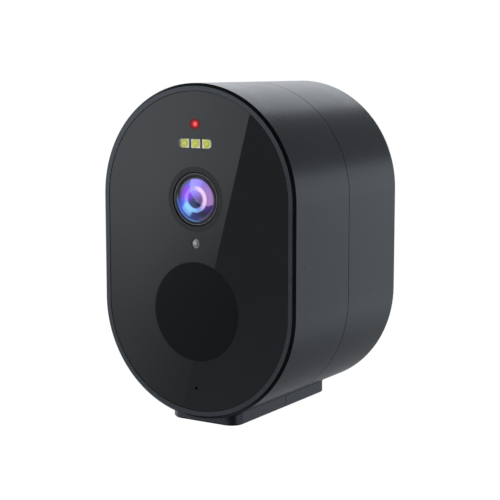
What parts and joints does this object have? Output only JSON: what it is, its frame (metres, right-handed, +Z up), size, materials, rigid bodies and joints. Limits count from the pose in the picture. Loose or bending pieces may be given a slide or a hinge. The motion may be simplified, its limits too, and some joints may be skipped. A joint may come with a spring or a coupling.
{
  "type": "security camera",
  "caption": "Battery security camera with an oval two-shell body on a flat foot, a round lens over a motion sensor window, lamps and a tripod thread at the back.",
  "frame": {"origin": "on the floor under the foot, at the middle of the width and of the depth", "axes": "+Z up, -Y the way the lens looks, +X to the right of someone facing the lens"},
  "size_m": [0.0646, 0.0614, 0.0968],
  "materials": {
    "housing_grey": "fine moulded texture, satin",
    "panel_black": "polished dark sheet",
    "motion_black": "satin film",
    "bezel_black": "satin",
    "lens_black": "black anodised",
    "lens_glass": "coated glass",
    "clear_plastic": "clear moulded plastic",
    "status_red": "lit red",
    "lamp_white": "white package",
    "lamp_yellow": "phosphor",
    "rubber_black": "soft matt",
    "adhesive_grey": "foam tape",
    "brass": "machined",
    "screw_steel": "zinc plated",
    "shield_tin": "tinned sheet",
    "board_green": "solder mask",
    "board_white": "white solder mask",
    "chip_black": "moulded resin",
    "inner_plastic": "moulded plastic",
    "copper": "wound wire",
    "filter_glass": "infrared filter",
    "plain_glass": "clear filter",
    "ribbon_white": "flat ribbon",
    "speaker_paper": "treated paper",
    "magnet_iron": "plated magnet cup",
    "cell_wrap": "shrink wrapped cell",
    "key_grey": "satin"
  },
  "bodies": {
    "camera_body": {"front_housing": "housing_grey", "rear_housing": "housing_grey", "housing_seal": "rubber_black", "housing_screws": "screw_steel", "screw_plugs": "rubber_black", "mount_insert": "brass", "front_panel": "panel_black", "panel_adhesive": "adhesive_grey", "lens_bezel": "bezel_black", "lens_barrel": "lens_black", "lens_retaining_ring": "lens_black", "lens_front_element": "lens_glass", "lens_spacer": "lens_black", "lens_second_element": "lens_glass", "lens_aperture_stop": "lens_black", "lens_rear_element": "lens_glass", "lens_holder": "inner_plastic", "ir_cut_coil": "copper", "image_sensor": "chip_black", "main_board": "board_green", "small_screws": "screw_steel", "soc_chip": "chip_black", "wifi_module": "shield_tin", "wifi_antenna": "shield_tin", "led_board": "board_white", "white_leds": "lamp_white", "led_phosphors": "lamp_yellow", "led_window": "clear_plastic", "status_led": "lamp_white", "status_light_pipe": "status_red", "ir_leds": "chip_black", "led_ribbon": "ribbon_white", "light_sensor": "chip_black", "light_sensor_pipe": "clear_plastic", "pir_lens": "motion_black", "pir_sensor": "shield_tin", "pir_sensor_window": "filter_glass", "mic_boot": "rubber_black", "microphone": "shield_tin", "speaker_frame": "inner_plastic", "speaker_cone": "speaker_paper", "speaker_magnet": "magnet_iron", "speaker_gasket": "rubber_black", "battery_cells": "cell_wrap", "battery_cradle": "inner_plastic", "battery_contacts": "shield_tin", "lead_plugs": "lamp_white", "inner_leads": "rubber_black", "usb_port": "shield_tin", "card_socket": "shield_tin", "button_switches": "chip_black", "port_cover_anchor": "rubber_black"},
    "filter_arm": {"ir_cut_rotor": "inner_plastic"},
    "filter_carriage": {"ir_cut_slider": "inner_plastic", "ir_cut_filter": "filter_glass", "clear_filter": "plain_glass"},
    "cover_flap": {"port_cover": "rubber_black"},
    "power_key": {"power_button": "key_grey"},
    "reset_key": {"reset_button": "key_grey"}
  },
  "joints": [
    {"name": "cover_hinge", "type": "hinge", "parent": "camera_body", "child": "cover_flap", "pos_m": [0, -0.0186, 0.0011], "axis": [-1, 0, 0], "range_deg": [0, 110], "stiffness_Nm_per_rad": 0.004},
    {"name": "power_press", "type": "slide", "parent": "camera_body", "child": "power_key", "axis": [0, 0, 1], "range_m": [0, 0.0005], "stiffness_N_per_m": 400},
    {"name": "reset_press", "type": "slide", "parent": "camera_body", "child": "reset_key", "axis": [0, 0, 1], "range_m": [0, 0.0005], "stiffness_N_per_m": 400},
    {"name": "filter_swing", "type": "hinge", "parent": "camera_body", "child": "filter_arm", "pos_m": [0, -0.0116, 0.0749], "axis": [0, 1, 0], "range_deg": [0, 57]},
    {"name": "filter_slide", "type": "slide", "parent": "camera_body", "child": "filter_carriage", "axis": [1, 0, 0], "range_m": [-0.0062, 0]}
  ],
  "couplings": [
    {"joint": "filter_swing", "follows": "filter_slide", "rad_per_m": -160.35}
  ]
}
